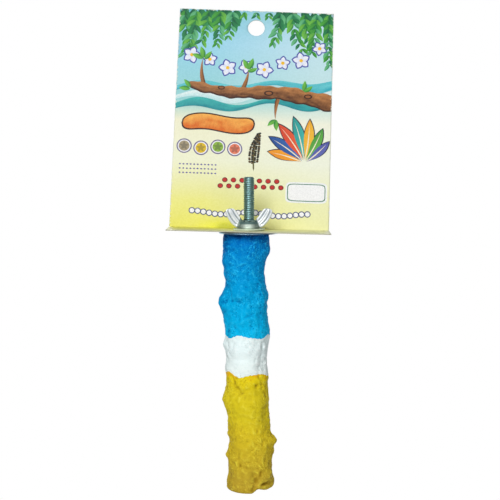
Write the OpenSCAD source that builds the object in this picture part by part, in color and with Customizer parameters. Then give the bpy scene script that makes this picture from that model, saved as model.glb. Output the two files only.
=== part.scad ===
// Bird perch: a knobbly mineral casting in three colours, hung by a stud that holds
// its header card between two washers and a wing nut.
// Millimetres. +Z runs up along the stud, +X to the right of the card's face, +Y behind it.
// The origin is on the stud's axis, level with the top of the wing nut's boss.

/* [Casting] */
// Mean radius of the casting
perch_r = 12.6; // [11:0.1:15]
// Length of the blue section, from the flat top to the middle of the wavy joint
blue_l = 60.2; // [50:0.2:80]
// Length of the white section, between the middles of its two joints
white_l = 21.8; // [16:0.2:34]
// Length of the yellow section, down to the lowest point of the end
yellow_l = 70.4; // [55:0.2:90]
// How far the joints between the colours wander up and down
joint_wave = 1.2; // [0.4:0.1:2]
// Reach of the largest knob beyond the casting's side
knob_reach = 4; // [1:0.1:4.5]
// Rounding of the lower end
end_round = 3.2; // [2:0.2:5]
// Step between the two lobes of the lower end
end_step = 1.4; // [0.5:0.1:4]
// Rounding of the rim round the flat top
top_round = 1.4; // [0.6:0.1:2]

/* [Core and stud] */
// Radius of the wooden core
core_r = 6.35; // [5.5:0.05:7.5]
// Length of the wooden core below the flat top
core_l = 140; // [90:1:145]
// Radius of the stud's free threaded end
stud_r = 3.175; // [3:0.005:3.4]
// Length of the stud above the wing nut
stud_l = 25.2; // [18:0.2:40]
// Radius of the stud where the washers, the card and the nut sit
neck_r = 3; // [2.6:0.05:3]
// Radius of the screw end inside the wood
screw_r = 2.9; // [2.2:0.05:3]
// Depth of the screw end inside the wood
screw_l = 31; // [20:0.5:45]
// Length of the screw's point
point_l = 5; // [3:0.5:8]
// Bevel at the stud's tip
tip_bevel = 0.7; // [0.3:0.1:1.2]

/* [Washers] */
// Radius of the wide washer on the casting
perch_washer_r = 17.5; // [12:0.1:19]
// Thickness of the wide washer
perch_washer_t = 0.8; // [0.8:0.1:2]
// Radius of the washer under the nut
nut_washer_r = 9.3; // [7.5:0.1:12]
// Thickness of the washer under the nut
nut_washer_t = 0.8; // [0.8:0.1:2]
// Radius of the hole in both washers
washer_hole_r = 3.55; // [3.3:0.05:4.2]
// Bevel on the washers' edges
washer_bevel = 0.2; // [0.1:0.05:0.35]

/* [Header card] */
// Width of the card
card_w = 95.25; // [70:0.25:120]
// Height of the printed panel above the fold
panel_h = 139.7; // [90:0.1:180]
// Depth of the shelf in front of the fold
shelf_d = 32; // [26:0.5:34]
// Distance of the fold behind the stud
fold_back = 15.5; // [15.5:0.1:18]
// Thickness of the board
card_t = 0.5; // [0.3:0.05:0.8]
// Radius of the hole in the shelf
card_hole_r = 3.5; // [3.3:0.05:4.5]
// Radius of the hang hole
hang_r = 5.2; // [3:0.1:7]
// Distance of the hang hole's centre below the panel's top edge
hang_drop = 11.3; // [8:0.1:20]
// Lean of the panel behind upright, in degrees
card_lean = 19; // [0:1:30]
// Roll of the card, its right side down, in degrees
card_roll = 1.5; // [0:0.1:1.8]
// Skew of the fold across the card, in degrees
card_skew = 0.6; // [0:0.1:3]

/* [Wing nut] */
// Span across the wings
nut_span = 28.7; // [24:0.1:29.5]
// Gap between the wings' tips
wing_gap = 17.2; // [15:0.1:18]
// Height of the wings above the nut's base
wing_h = 12; // [10:0.1:16]
// Thickness of a wing
wing_t = 2.4; // [1.8:0.1:3.2]
// Height of the threaded boss
boss_h = 4.8; // [4:0.1:6.5]
// Radius of the boss at its base
boss_base_r = 6.5; // [5.6:0.1:7.5]
// Radius of the boss at its top
boss_top_r = 4.5; // [4.1:0.05:5]
// Radius of the nut's bore
nut_bore_r = 3.225; // [3.225:0.005:3.5]
// Depth of the hollows in the wings
wing_hollow = 0.5; // [0.2:0.05:0.7]

/* [Hidden] */
$fn = 72;
// Clearances: wood in casting, screw in wood, card on washers, fold against shelf
core_gap = 0.05;
screw_gap = 0.05;
card_gap = 0.05;
fold_gap = 0.1;
// Step to which the gap for the card is rounded up
stack_step = 0.01;
// How far a cut runs past the surface that it opens
overrun = 1;
// The casting's facets
sides = 48;
ring_step = 2.4;

perch_l = blue_l + white_l + yellow_l;
yellow_top = blue_l + white_l;
// The card rolls between level washers, so each washer's rim just meets it
lower_lift = perch_washer_r * tan(card_roll) + card_gap;
upper_lift = nut_washer_r * tan(card_roll) + card_gap;
board_h = card_t / cos(card_roll);
card_stack = ceil((upper_lift + board_h + lower_lift) / stack_step) * stack_step;
nut_base = -boss_h;
nut_washer_z = nut_base - nut_washer_t;
card_z = nut_washer_z - upper_lift - board_h / 2;
perch_top = nut_washer_z - card_stack - perch_washer_t;

// Along the casting: depth as a share of its length, then the sideways shift of its middle
// and its reach from there, both as shares of perch_r
shift_shares = [
    [0, -0.12], [0.04, -0.15], [0.08, -0.17], [0.12, -0.21], [0.16, -0.23],
    [0.2, -0.155], [0.24, -0.155], [0.28, -0.115], [0.32, -0.13], [0.36, -0.095],
    [0.4, -0.085], [0.44, -0.095], [0.48, -0.115], [0.52, -0.145], [0.56, -0.075],
    [0.6, -0.07], [0.64, -0.07], [0.68, -0.06], [0.72, 0], [0.76, 0.015],
    [0.8, 0.08], [0.84, 0.085], [0.88, 0.055], [0.92, 0.06], [0.96, 0.06],
    [1, 0.06],
];
reach_shares = [
    [0, 1.065], [0.04, 1.055], [0.08, 1.015], [0.12, 0.965], [0.16, 0.93],
    [0.2, 0.945], [0.24, 0.98], [0.28, 0.98], [0.32, 0.985], [0.36, 0.975],
    [0.4, 1], [0.44, 1], [0.48, 0.94], [0.52, 0.99], [0.56, 0.98],
    [0.6, 0.955], [0.64, 1.01], [0.68, 1.01], [0.72, 0.99], [0.76, 0.99],
    [0.8, 1.015], [0.84, 1.03], [0.88, 1.03], [0.92, 1.04], [0.96, 1.1],
    [1, 1.11],
];
// Knobs and hollows: depth as a share of the length, heading in degrees (270 is the front),
// reach as a share of knob_reach, then spread along and around as shares of perch_r
knob_shares = [
    [0.068, 352, 0.32, 0.30, 0.55], [0.105, 190, 0.20, 0.35, 0.60],
    [0.268, 187, 1.00, 0.46, 0.55], [0.340, 190, 0.24, 0.30, 0.60],
    [0.375, 350, 0.15, 0.30, 0.50], [0.430, 177, 0.32, 0.20, 0.50],
    [0.635, 183, 0.55, 0.40, 0.55], [0.803, 355, 0.65, 0.26, 0.42],
    [0.858, 184, 0.36, 0.20, 0.42], [0.935, 184, -0.20, 0.20, 0.50],
    [0.236, 0, 0.28, 0.26, 0.45], [0.778, 184, 0.24, 0.12, 0.35],
    [0.846, 356, 0.26, 0.16, 0.40], [0.228, 248, 0.35, 0.35, 0.45],
    [0.330, 262, 0.22, 0.40, 0.40],
    [0.140, 275, -0.20, 0.50, 0.40], [0.200, 300, -0.24, 0.60, 0.28],
    [0.255, 318, 0.28, 0.35, 0.35], [0.445, 232, 0.16, 0.30, 0.35],
    [0.490, 318, -0.25, 0.45, 0.30], [0.600, 245, -0.20, 0.25, 0.50],
    [0.670, 282, 0.25, 0.50, 0.60], [0.700, 325, -0.22, 0.45, 0.35],
    [0.780, 255, 0.15, 0.40, 0.50], [0.935, 282, -0.50, 0.34, 0.17],
    [0.930, 318, 0.22, 0.30, 0.35], [0.920, 240, 0.15, 0.40, 0.50],
    [0.120, 95, 0.45, 0.45, 0.60], [0.170, 145, -0.30, 0.45, 0.45],
    [0.235, 62, 0.60, 0.40, 0.50], [0.330, 118, 0.42, 0.50, 0.55],
    [0.400, 32, 0.30, 0.35, 0.45], [0.475, 82, 0.36, 0.35, 0.55],
    [0.520, 140, -0.30, 0.40, 0.50], [0.610, 46, 0.50, 0.40, 0.45],
    [0.695, 104, 0.62, 0.42, 0.60], [0.750, 148, -0.32, 0.50, 0.45],
    [0.830, 72, 0.46, 0.38, 0.50], [0.885, 128, 0.50, 0.32, 0.45],
];
// Shares of a rounding's radius at which its rings lie
round_shares = [0, 0.12, 0.4, 1];
// The two joints' waves: turns per round, heading of the dip, share of joint_wave
upper_wave_shares = [
    [1, 103, 0.15], [2, 149, 0.09], [3, 65, 0.36], [5, 8, 0.55], [7, 9, 0.41]];
lower_wave_shares = [
    [1, 329, 0.51], [2, 108.6, 0.23], [3, 6, 0.58], [5, 42.6, 0.52], [7, 37.7, 0.41]];
// Heading and half width of the shorter lobe of the lower end, and of its sloping edge
lobe_heading = 350;
lobe_half = 62;
lobe_edge = 14;

// Sum of a list of numbers
function total(list, i = 0) = i == len(list) ? 0 : list[i] + total(list, i + 1);

// Angle between two headings, 0 to 180
function turn(a, b) = abs((a - b + 900) % 360 - 180);

// Height lost by a rounded rim of radius r at depth e inside it
function rim_loss(e, r) = e >= r ? 0 : r - sqrt(max(0, r * r - (r - e) * (r - e)));

// Depth below the flat top of each end and joint, at heading a
function wave(a, shares) =
    joint_wave * total([for (w = shares) w[2] * cos(w[0] * (a - w[1]))]);
function top_depth(a) = 0;
function upper_joint(a) = blue_l + wave(a, upper_wave_shares);
function lower_joint(a) = yellow_top + wave(a, lower_wave_shares);
function lobe_share(a) = max(0, min(1, (lobe_half + lobe_edge - turn(a, lobe_heading)) / lobe_edge));
function end_depth(a) = perch_l - end_step * lobe_share(a);

// Swell of one knob at heading a and depth d
function knob(a, d, k) =
    k[2] * knob_reach * exp(
        -pow((d - k[0] * perch_l) / (k[3] * perch_r), 2)
        - pow(turn(a, k[1]) * PI / 180 / k[4], 2));

// Radius of the casting at heading a and depth d, measured from its middle
function cast_radius(a, d) =
    perch_r * lookup(d / perch_l, reach_shares)
    + total([for (k = knob_shares) knob(a, d, k)])
    - rim_loss(d, top_round)
    - rim_loss(end_depth(a) - d, end_round);

function cast_middle(d) = perch_r * lookup(d / perch_l, shift_shares);
function cast_point(a, d) =
    let (r = cast_radius(a, d)) [cast_middle(d) + r * cos(a), r * sin(a), perch_top - d];

// Rings of a section: share of the way from its upper to its lower edge, and a depth to add
function plain_rings(from, to, length) =
    let (n = max(2, round((to - from) * length / ring_step)))
    [for (i = [0 : n]) [from + (to - from) * i / n, 0]];

function blue_rings() =
    let (start = (top_round + ring_step) / blue_l)
    concat([for (s = round_shares) [0, s * top_round]], plain_rings(start, 1, blue_l));

function yellow_rings() =
    let (stop = 1 - (end_round + ring_step) / yellow_l, last = len(round_shares) - 1)
    concat(plain_rings(0, stop, yellow_l),
           [for (i = [last : -1 : 0]) [1, -round_shares[i] * end_round]]);

// Depth of a ring at heading a, between the section's two edges
function ring_depth(ring, upper, lower) = upper + (lower - upper) * ring[0] + ring[1];

// Closed loft through rings given as lists of points, with a middle point at either end
module loft(rings, first_middle, last_middle) {
    n = len(rings[0]);
    m = len(rings);
    points = concat([for (ring = rings) for (p = ring) p], [first_middle, last_middle]);
    skin = [for (i = [0 : m - 2]) for (j = [0 : n - 1])
        let (k = (j + 1) % n)
        for (face = [[i * n + j, i * n + k, (i + 1) * n + k],
                     [i * n + j, (i + 1) * n + k, (i + 1) * n + j]]) face];
    first_cap = [for (j = [0 : n - 1]) [m * n, (j + 1) % n, j]];
    last_cap = [for (j = [0 : n - 1])
        [m * n + 1, (m - 1) * n + j, (m - 1) * n + (j + 1) % n]];
    polyhedron(points = points, faces = concat(skin, first_cap, last_cap), convexity = 6);
}

// Round bar that hangs down from the casting's flat top
module down_from_top(r, h) {
    translate([0, 0, perch_top]) mirror([0, 0, 1]) cylinder(r = r, h = h);
}

// Hole for a round bar, open at the flat top
module hole_from_top(r, h) {
    down_from_top(r, h);
    translate([0, 0, perch_top - overrun]) cylinder(r = r, h = 2 * overrun);
}

// Hole for the wooden core
module core_hole() {
    hole_from_top(core_r + core_gap, core_l + core_gap);
}

module blue_section() {
    headings = [for (j = [0 : sides - 1]) 360 * j / sides];
    color("dodgerblue")
        difference() {
            loft([for (ring = blue_rings()) [for (a = headings)
                     cast_point(a, ring_depth(ring, top_depth(a), upper_joint(a)))]],
                 [cast_middle(0), 0, perch_top],
                 [cast_middle(blue_l), 0, perch_top - blue_l]);
            core_hole();
        }
}

module white_section() {
    headings = [for (j = [0 : sides - 1]) 360 * j / sides];
    color("white")
        difference() {
            loft([for (ring = plain_rings(0, 1, white_l)) [for (a = headings)
                     cast_point(a, ring_depth(ring, upper_joint(a), lower_joint(a)))]],
                 [cast_middle(blue_l), 0, perch_top - blue_l],
                 [cast_middle(yellow_top), 0, perch_top - yellow_top]);
            core_hole();
        }
}

module yellow_section() {
    headings = [for (j = [0 : sides - 1]) 360 * j / sides];
    color("gold")
        difference() {
            loft([for (ring = yellow_rings()) [for (a = headings)
                     cast_point(a, ring_depth(ring, lower_joint(a), end_depth(a)))]],
                 [cast_middle(yellow_top), 0, perch_top - yellow_top],
                 [cast_middle(perch_l), 0, perch_top - perch_l + end_step / 2]);
            core_hole();
        }
}

// Dowel that the casting is poured round, drilled for the stud's screw end
module wood_core() {
    color("burlywood")
        difference() {
            down_from_top(core_r, core_l);
            hole_from_top(screw_r + screw_gap, screw_l + screw_gap);
        }
}

// Hanging stud: a screw end in the wood, a neck through the stack, a free end for the cage
module hanger_bolt() {
    color("slategray")
        rotate_extrude()
            polygon([
                [0, perch_top - screw_l],
                [screw_r, perch_top - screw_l + point_l],
                [screw_r, perch_top],
                [neck_r, perch_top],
                [neck_r, 0],
                [stud_r, 0],
                [stud_r, stud_l - tip_bevel],
                [stud_r - tip_bevel, stud_l],
                [0, stud_l],
            ]);
}

// Flat ring with bevelled outer edges, standing on z = 0
module washer(r, t) {
    rotate_extrude()
        polygon([
            [washer_hole_r, 0],
            [r - washer_bevel, 0],
            [r, washer_bevel],
            [r, t - washer_bevel],
            [r - washer_bevel, t],
            [washer_hole_r, t],
        ]);
}

module perch_washer() {
    color("lightsteelblue")
        translate([0, 0, perch_top]) washer(perch_washer_r, perch_washer_t);
}

module nut_washer() {
    color("lightsteelblue")
        translate([0, 0, nut_washer_z]) washer(nut_washer_r, nut_washer_t);
}

// The card's plane, rolled about the stud. Its middle layer is at z = 0
module card_place() {
    translate([0, 0, card_z]) rotate([0, card_roll, 0]) children();
}

// Point of the card at x across and y away from the fold, turned by the fold's skew
function skewed(x, y) =
    [x * cos(card_skew) + y * sin(card_skew), y * cos(card_skew) - x * sin(card_skew)];

// Half the fold's length, which crosses the card at a slant
fold_half = card_w / 2 / cos(card_skew);

module card_shelf() {
    back = card_t / 2 + fold_gap;
    slip = back * tan(card_skew);
    color("khaki")
        card_place()
            difference() {
                translate([0, fold_back, -card_t / 2])
                    linear_extrude(card_t)
                        polygon([
                            [-fold_half - slip, -back],
                            skewed(-card_w / 2, -shelf_d),
                            skewed(card_w / 2, -shelf_d),
                            [fold_half - slip, -back],
                        ]);
                translate([0, 0, -card_t / 2 - overrun])
                    cylinder(r = card_hole_r, h = card_t + 2 * overrun);
            }
}

// Printed panel. The rounded edge along its foot is the fold
module card_panel() {
    hang_at = skewed(0, panel_h - hang_drop);
    color("lemonchiffon")
        card_place()
            translate([0, fold_back, 0]) rotate([90 - card_lean, 0, 0])
                difference() {
                    union() {
                        translate([0, 0, -card_t / 2])
                            linear_extrude(card_t)
                                polygon([
                                    [-fold_half, 0],
                                    [fold_half, 0],
                                    skewed(card_w / 2, panel_h),
                                    skewed(-card_w / 2, panel_h),
                                ]);
                        translate([-fold_half, 0, 0]) rotate([0, 90, 0])
                            cylinder(r = card_t / 2, h = 2 * fold_half);
                    }
                    translate([hang_at.x, hang_at.y, -card_t / 2 - overrun])
                        cylinder(r = hang_r, h = card_t + 2 * overrun);
                }
}

// Outline of a wing: share of the half span, share of the wing's height, corner rounding
// as a share of the wing's thickness
wing_shares = [
    [0.24, 0.04, 0], [0.52, 0.04, 0.3], [0.76, 0.34, 1.6], [0.94, 0.68, 1.2], [1, 0.87, 0.9],
    [0.94, 0.96, 0.6], [0.60, 1.0, 0.9], [0.49, 0.70, 1.2], [0.31, 0.40, 0.8],
];
// The wing's hollows: the outline's scale about its middle, and the rib that parts them
hollow_share = 0.72;
rib_share = 0.34;
wing_middle_shares = [0.70, 0.60];

function wing_point(w) = [w[0] * nut_span / 2, w[1] * wing_h];
function toward(p, q, d) = p + (q - p) * min(0.5, d / norm(q - p));

// Corner p between a and b, cut by a curve that leaves its sides at distance d
function round_corner(a, p, b, d) =
    d == 0 ? [p] :
    let (s = toward(p, a, d), e = toward(p, b, d))
    [for (t = [0 : 0.25 : 1]) s * (1 - t) * (1 - t) + p * 2 * t * (1 - t) + e * t * t];

function wing_outline() =
    let (n = len(wing_shares))
    [for (i = [0 : n - 1])
        for (q = round_corner(wing_point(wing_shares[(i + n - 1) % n]),
                              wing_point(wing_shares[i]),
                              wing_point(wing_shares[(i + 1) % n]),
                              wing_shares[i][2] * wing_t)) q];

// One wing standing on z = 0, reaching to +X, with two hollows on either face
module wing() {
    middle = wing_point(wing_middle_shares);
    rib_w = rib_share * wing_t * 2;
    slope = atan2(wing_h - boss_h / 2,
                  (nut_span + wing_gap) / 4 - (boss_base_r + boss_top_r) / 2);
    rotate([90, 0, 0])
        difference() {
            linear_extrude(wing_t, center = true) polygon(wing_outline());
            for (side = [-1, 1])
                translate([0, 0, side * wing_t / 2])
                    difference() {
                        linear_extrude(2 * wing_hollow, center = true)
                            polygon([for (p = wing_outline())
                                middle + (p - middle) * hollow_share]);
                        translate([middle.x, middle.y, 0]) rotate([0, 0, slope])
                            cube([2 * wing_h, rib_w, 4 * wing_hollow], center = true);
                    }
        }
}

module wing_nut() {
    mouth = (boss_top_r - nut_bore_r) / 3;
    color("gainsboro")
        translate([0, 0, nut_base])
            difference() {
                union() {
                    rotate_extrude()
                        polygon([
                            [0, 0],
                            [boss_base_r - washer_bevel, 0],
                            [boss_base_r, washer_bevel],
                            [boss_base_r, boss_h / 5],
                            [(boss_base_r + boss_top_r) / 2, boss_h / 2],
                            [boss_top_r, boss_h - mouth],
                            [boss_top_r - mouth, boss_h],
                            [0, boss_h],
                        ]);
                    wing();
                    rotate([0, 0, 180]) wing();
                }
                translate([0, 0, -overrun])
                    cylinder(r = nut_bore_r, h = boss_h + 2 * overrun);
                translate([0, 0, boss_h])
                    cylinder(r = nut_bore_r + wing_t / 4, h = wing_h);
            }
}

blue_section();
white_section();
yellow_section();
wood_core();
hanger_bolt();
perch_washer();
card_shelf();
card_panel();
nut_washer();
wing_nut();
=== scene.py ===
"""Bird perch: a knobbly casting in three colours round a wooden dowel, hung by a threaded
stud that clamps a folded header card between two washers and a wing nut.

The shapes are worked out in millimetres in the CAD frame and turned to metres as each mesh
is made. +Z runs up along the stud, +X to the right of the card's face, +Y behind it.
"""
import math

import bmesh
import bpy
import numpy as np
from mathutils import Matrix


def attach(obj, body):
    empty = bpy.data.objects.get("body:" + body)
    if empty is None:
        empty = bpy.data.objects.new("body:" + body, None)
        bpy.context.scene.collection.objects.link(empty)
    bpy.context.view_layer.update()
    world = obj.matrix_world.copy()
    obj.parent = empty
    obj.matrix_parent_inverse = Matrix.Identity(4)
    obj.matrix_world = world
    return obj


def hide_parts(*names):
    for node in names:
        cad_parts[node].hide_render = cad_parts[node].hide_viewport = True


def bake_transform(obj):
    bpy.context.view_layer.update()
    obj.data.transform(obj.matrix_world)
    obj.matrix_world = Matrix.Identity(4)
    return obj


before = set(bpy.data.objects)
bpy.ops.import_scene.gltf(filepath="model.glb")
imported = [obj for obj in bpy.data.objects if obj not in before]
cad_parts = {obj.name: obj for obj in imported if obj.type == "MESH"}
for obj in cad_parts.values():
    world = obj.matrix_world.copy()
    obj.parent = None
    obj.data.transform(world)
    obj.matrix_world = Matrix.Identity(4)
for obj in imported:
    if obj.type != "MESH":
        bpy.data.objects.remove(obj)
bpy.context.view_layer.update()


# ---------------- blue section of the casting
# Mineral paste pressed by hand round the dowel and set hard: knobs, folds and pits all over.
# The blue part is the upper one. It starts flat under the wide washer and meets the white
# part along a wavy joint. The three parts share one outline, measured from the flat top.
PERCH_TOP, PERCH_R = -7.71, 12.6
BLUE_L, WHITE_L, YELLOW_L = 60.2, 21.8, 70.4
PERCH_L = BLUE_L + WHITE_L + YELLOW_L
JOINT_WAVE, KNOB_REACH = 1.2, 4.0
TOP_ROUND, END_ROUND = 1.4, 3.2
END_STEP, STEP_AT, STEP_HALF, STEP_RAMP = 1.4, 350, 62, 14
NICK, NICK_AT, NICK_SPREAD = 1.2, 298, 12
CORE_BORE_R, CORE_BORE_L = 6.4, 140.05
AROUND, RING_STEP = 264, 0.3
headings = np.linspace(0, 360, AROUND, endpoint=False)
# Steps of the rings from the bore's wall out to the side, as shares of the way
RIM_SHARES = (0.0, 0.35, 0.7, 0.9)
# Sizes and heights in mm of the random lattices that shape the paste
SWAY_MM, WARP_MM, AREA_MM, BROAD_MM, LUMP_MM = 6.0, 4.0, 8.0, 7.5, 3.2
RIDGE_MM, GAP_MM, PIT_MM, FINE_MM, MOTTLE_MM = 2.6, 1.9, 1.5, 1.1, 2.6
SWAY_H, BROAD_H, LUMP_H, RIDGE_H, FINE_H, PIT_H = 1.7, 0.60, 0.48, 0.52, 0.16, 0.9
# A fold's share of its listed height and width, and a band that is rough from end to end
FOLD_H, FOLD_W, BAND_AT, BAND_SPREAD = 0.7, 1.7, 322, 20
# The way in mm over which detail fades at an end, and how fast painted shade deepens in a
# hollow and painted highlight grows on a high spot
END_FADE, HOLLOW_GAIN = 2.0, 2.4
# Fine ripples on every joint: count of turns, heading of the dip, size
RIPPLES = [(29, 0, 0.10), (43, 0, 0.07)]

# The outline at even steps down the casting, as shares of its radius: how far its middle
# lies to the right, and how far it reaches
even_steps = np.arange(26) / 25
shift_shares = [
    -0.12, -0.15, -0.17, -0.21, -0.23, -0.155, -0.155, -0.115, -0.13, -0.095, -0.085, -0.095,
    -0.115, -0.145, -0.075, -0.07, -0.07, -0.06, 0, 0.015, 0.08, 0.085, 0.055, 0.06, 0.06, 0.06]
reach_shares = [
    1.065, 1.055, 1.015, 0.965, 0.93, 0.945, 0.98, 0.98, 0.985, 0.975, 1, 1, 0.94, 0.99, 0.98,
    0.955, 1.01, 1.01, 0.99, 0.99, 1.015, 1.03, 1.03, 1.04, 1.1, 1.11]
# Knobs, or dents where the reach is below zero: depth, heading, reach, spread along, spread
# around in radians. Depth and spread along are shares of the length and the radius
knob_shares = [
    (0.068, 352, 0.32, 0.3, 0.55), (0.105, 190, 0.2, 0.35, 0.6), (0.268, 187, 1, 0.46, 0.55),
    (0.34, 190, 0.24, 0.3, 0.6), (0.375, 350, 0.15, 0.3, 0.5), (0.43, 177, 0.32, 0.2, 0.5),
    (0.635, 183, 0.55, 0.4, 0.55), (0.803, 355, 0.65, 0.26, 0.42), (0.858, 184, 0.36, 0.2, 0.42),
    (0.935, 184, -0.2, 0.2, 0.5), (0.236, 0, 0.28, 0.26, 0.45), (0.778, 184, 0.24, 0.12, 0.35),
    (0.846, 356, 0.26, 0.16, 0.4), (0.228, 248, 0.35, 0.35, 0.45), (0.33, 262, 0.22, 0.4, 0.4),
    (0.14, 275, -0.2, 0.5, 0.4), (0.2, 300, -0.24, 0.6, 0.28), (0.255, 318, 0.28, 0.35, 0.35),
    (0.445, 232, 0.16, 0.3, 0.35), (0.49, 318, -0.25, 0.45, 0.3), (0.6, 245, -0.2, 0.25, 0.5),
    (0.67, 282, 0.25, 0.5, 0.6), (0.7, 325, -0.22, 0.45, 0.35), (0.78, 255, 0.15, 0.4, 0.5),
    (0.935, 282, -0.5, 0.34, 0.17), (0.93, 318, 0.22, 0.3, 0.35), (0.92, 240, 0.15, 0.4, 0.5),
    (0.12, 95, 0.45, 0.45, 0.6), (0.17, 145, -0.3, 0.45, 0.45), (0.235, 62, 0.6, 0.4, 0.5),
    (0.33, 118, 0.42, 0.5, 0.55), (0.4, 32, 0.3, 0.35, 0.45), (0.475, 82, 0.36, 0.35, 0.55),
    (0.52, 140, -0.3, 0.4, 0.5), (0.61, 46, 0.5, 0.4, 0.45), (0.695, 104, 0.62, 0.42, 0.6),
    (0.75, 148, -0.32, 0.5, 0.45), (0.83, 72, 0.46, 0.38, 0.5), (0.885, 128, 0.5, 0.32, 0.45)]
# Small lumps and dents: depth, heading, height, spread along, spread around
touches = [
    (42.7, 274, 0.35, 3.5, 1.6), (34.5, 276, 0.35, 1.8, 1.6), (51.5, 253, 0.4, 2.6, 3.8),
    (36.8, 304, 0.5, 2.8, 2.8), (27.4, 278, -0.45, 5, 1.5), (24.5, 329, -0.4, 5, 2),
    (16.3, 228, 0.3, 0.9, 0.9), (31.5, 262, 0.35, 4.2, 3.4), (44, 232, 0.3, 2.6, 2.4),
    (52.5, 296, -0.3, 1.2, 3), (9, 300, 0.25, 3, 3.5), (21, 240, 0.25, 2.5, 2.5),
    (57, 285, 0.25, 1.8, 2.4), (66, 318, -0.5, 2.6, 1.4), (72, 326, 0.35, 1.6, 1.6),
    (77, 262, 0.2, 4, 4), (68.5, 240, 0.22, 2, 2.6), (79, 312, 0.25, 1.8, 1.8),
    (74, 300, -0.22, 2.4, 0.9), (86.5, 300, 0.4, 1.6, 2.4), (88, 240, 0.25, 1.8, 2),
    (89, 264, 0.45, 2.6, 3.2), (103, 262, 0.3, 4.5, 4.2), (99, 322, 0.25, 2.2, 2),
    (106, 330, -0.25, 2.2, 1.4), (118, 354, -0.9, 0.7, 0.8), (123.5, 300, -0.3, 2.2, 1),
    (128, 250, 0.25, 3, 3), (134, 262, -0.3, 1.1, 3), (132, 306, 0.3, 1.8, 2.6),
    (146.8, 314, -1.9, 1.4, 2.5), (121.2, 280, -0.4, 1.3, 0.8), (146, 297, 0.3, 1.8, 1.2),
    (141, 330, 0.3, 2, 2), (150, 290, -0.4, 1.4, 1)]
# Folds pressed into the paste: depth and heading of either end, height, width
folds = [
    (85.6, 228, 92.9, 250, -0.34, 0.85), (92.9, 250, 96.7, 278, -0.34, 0.85),
    (85.5, 304, 88.3, 297, -0.3, 0.85), (88.3, 297, 91.7, 278, -0.34, 0.85),
    (39.8, 212, 38.8, 232, -0.35, 0.6), (38.8, 232, 39.4, 262, -0.35, 0.6),
    (45, 230, 49.2, 252, -0.22, 0.8), (49.2, 252, 46.5, 284, -0.2, 0.8),
    (140, 299, 144.5, 289, -0.75, 0.75), (144.5, 289, 149.3, 276, -0.75, 0.75),
    (64, 236, 70.5, 228, -0.25, 0.6), (63.5, 312, 73, 322, -0.4, 0.6),
    (73, 322, 82, 304, -0.32, 0.6), (84.5, 226, 90, 240, -0.3, 0.55),
    (84, 304, 92, 318, -0.4, 0.6), (28, 288, 38.5, 300, -0.3, 0.7), (47, 300, 55, 318, -0.28, 0.7),
    (33, 315, 43, 335, -0.26, 0.6), (10, 238, 15, 262, -0.22, 0.7),
    (112, 296, 119, 290, -0.28, 0.6), (129.5, 240, 135.5, 247, -0.5, 0.7),
    (135.5, 247, 136.5, 264, -0.45, 0.7), (120, 310, 129, 330, -0.28, 0.6),
    (20, 60, 33, 84, -0.35, 0.8), (52, 110, 60, 84, -0.32, 0.7), (70, 130, 78, 100, -0.3, 0.7),
    (96, 60, 104, 92, -0.35, 0.8), (118, 100, 130, 84, -0.35, 0.8), (12, 130, 24, 150, -0.3, 0.7)]
# Patches rubbed smooth: depth, heading, spread along, spread around, how flat
smooth_patches = [
    (14, 248, 4.5, 4.5, 0), (33, 246, 6.5, 6, 0), (53, 254, 5.5, 7, 0), (74, 260, 10, 7, 0.7),
    (107, 260, 15, 7, 0), (142, 250, 7, 6, 0), (24, 120, 9, 8, 0), (66, 70, 12, 8, 0),
    (112, 110, 16, 8, 0)]
# Patches where the paste is darkened, or lightened where the shade is below zero: depth,
# heading, shade, spread along, spread around. Most are painted shade: along the casting's
# left and right sides, across its front under the washer, and in the recess, the groove and
# the rim at the lower end. The others darken or lighten the paste in patches.
stains_and_painted_shade = [
    (0.5, 270, 0.5, 2.6, 16), (24, 311, 0.45, 8, 2), (20, 348, 0.45, 8, 2.6),
    (17.5, 250, -0.15, 6, 4), (20, 203, 0.45, 18, 2.6), (46, 317, 0.45, 6.5, 2.4),
    (52, 328, 0.4, 2.4, 2.2), (58.5, 211, 0.45, 3, 2.6), (44, 196, 0.4, 8, 2.6),
    (67, 326, 0.35, 4, 1.8), (74, 203, 0.45, 9, 2.2), (89, 232, 0.35, 2.2, 2.4),
    (89, 334, 0.5, 7, 2.6), (103, 325, 0.45, 2.4, 2.6), (102.5, 198, 0.4, 2, 2.6),
    (115, 230, 0.22, 11, 4.5), (112, 277, -0.22, 14, 4), (124, 340, 0.4, 10, 2.6),
    (122, 202, 0.35, 12, 2.2), (149.6, 264, 0.45, 1.4, 4.5), (142, 205, 0.25, 8, 2.2),
    (7.4, 212, 0.4, 3, 2.6), (9.1, 289, 0.3, 2.2, 1.8), (22.8, 301, -0.3, 2.5, 2),
    (39.2, 304, -0.28, 2.5, 2.2), (37.5, 190, 0.3, 3.5, 3), (29.6, 209, 0.35, 3, 2),
    (36, 350, 0.3, 6, 2.4), (116.5, 265, 0.2, 4, 3), (146.8, 314, 1.2, 1.4, 2.4),
    (141, 295, 0.6, 2.2, 1.4), (30, 70, 0.35, 8, 5), (55, 130, 0.3, 10, 4), (95, 90, 0.3, 8, 6),
    (130, 120, 0.35, 9, 5), (75, 45, -0.2, 9, 5)]


def turn(a, b):
    """Angle from heading b to heading a in degrees, -180 to 180."""
    return (a - b + 540) % 360 - 180


def rim_loss(e, r):
    """Height lost at distance e inside a rim rounded to radius r: r less the circle's height."""
    e = np.clip(e, 0, r)
    return r - np.sqrt(np.maximum(0, r * r - (r - e) ** 2))


def end_depth(a):
    """Depth of the lower end at heading a: the whole length, less a step over one lobe and
    a bell-shaped nick where the step begins."""
    step = np.clip((STEP_HALF + STEP_RAMP - np.abs(turn(a, STEP_AT))) / STEP_RAMP, 0, 1)
    return PERCH_L - END_STEP * step - NICK * np.exp(-(turn(a, NICK_AT) / NICK_SPREAD) ** 2)


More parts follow.
